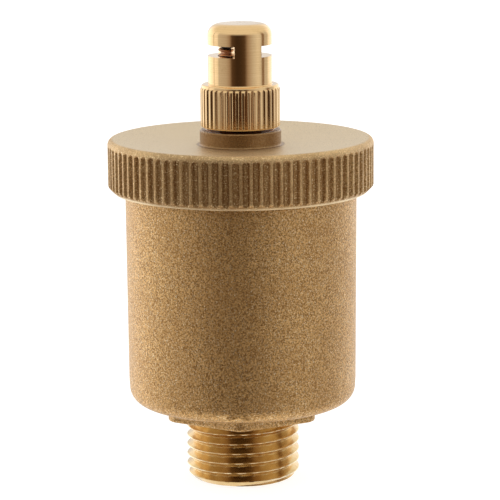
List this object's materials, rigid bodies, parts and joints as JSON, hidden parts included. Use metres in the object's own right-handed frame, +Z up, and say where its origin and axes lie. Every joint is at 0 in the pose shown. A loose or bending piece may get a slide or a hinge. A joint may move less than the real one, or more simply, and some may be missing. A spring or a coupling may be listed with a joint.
{
  "type": "automatic air vent",
  "caption": "Brass float air vent: round cup with a ribbed screw cover, knurled vent cap with side slots on top, and a threaded pipe spigot with a hexagon below.",
  "frame": {"origin": "centre of the spigot's lower end face, the lowest point of the vent", "axes": "+Z up along the vent's axis from the inlet to the vent cap; -Y is the front; the lever's pivot pin lies along Y"},
  "size_m": [0.0488, 0.0488, 0.0845],
  "materials": {
    "raw_brass": "hot forged and sandblasted, matt and grainy",
    "turned_brass": "bright turned, fine lathe lines",
    "stainless_steel": "stamped and brushed",
    "seal_rubber": "moulded, matt",
    "gasket_fibre": "pressed fibre, matt",
    "float_plastic": "moulded natural polypropylene, satin"
  },
  "bodies": {
    "housing": {"body": "raw_brass"},
    "cover_seal": {"cover_oring": "seal_rubber"},
    "cover_group": {"cover": "raw_brass", "nozzle": "turned_brass", "nozzle_gasket": "gasket_fibre", "lock_washer": "stainless_steel", "nozzle_locknut": "turned_brass", "lever_bracket": "stainless_steel", "pivot_pin": "stainless_steel", "pivot_clip": "stainless_steel", "valve_spring": "stainless_steel"},
    "float_group": {"float_shell": "float_plastic", "float_base": "float_plastic", "float_pin": "stainless_steel"},
    "lever_group": {"lever": "stainless_steel"},
    "valve_group": {"obturator_pin": "turned_brass", "obturator_seal": "seal_rubber", "stem_button": "stainless_steel", "spring_collar": "turned_brass"},
    "cap_washer": {"cap_seal": "seal_rubber"},
    "cap_group": {"vent_cap": "turned_brass"}
  },
  "joints": [
    {"name": "cover_lift", "type": "slide", "parent": "housing", "child": "cover_seal", "axis": [0, 0, 1], "range_m": [0, 0.0045]},
    {"name": "cover_turn", "type": "hinge", "parent": "cover_seal", "child": "cover_group", "pos_m": [0, 0, 0.058], "axis": [0, 0, 1], "range_deg": [0, 1080]},
    {"name": "float_rise", "type": "slide", "parent": "cover_group", "child": "float_group", "axis": [0, 0, 1], "range_m": [0, 0.0036]},
    {"name": "lever_swing", "type": "hinge", "parent": "cover_group", "child": "lever_group", "pos_m": [-0.006, 0, 0.05292], "axis": [0, -1, 0], "range_deg": [0, 11.48]},
    {"name": "valve_stroke", "type": "slide", "parent": "cover_group", "child": "valve_group", "axis": [0, 0, 1], "range_m": [0, 0.0012], "deforming": ["valve_spring"]},
    {"name": "cap_lift", "type": "slide", "parent": "cover_group", "child": "cap_washer", "axis": [0, 0, 1], "range_m": [-0.0004, 0.0016]},
    {"name": "cap_turn", "type": "hinge", "parent": "cap_washer", "child": "cap_group", "pos_m": [0, 0, 0.07], "axis": [0, 0, 1], "range_deg": [-144, 576]}
  ],
  "couplings": [
    {"joint": "cover_lift", "follows": "cover_turn", "m_per_rad": 0.0002387},
    {"joint": "float_rise", "follows": "lever_swing", "m_per_rad": 0.01797},
    {"joint": "valve_stroke", "follows": "lever_swing", "m_per_rad": 0.00599},
    {"joint": "cap_lift", "follows": "cap_turn", "m_per_rad": 0.00015915}
  ]
}
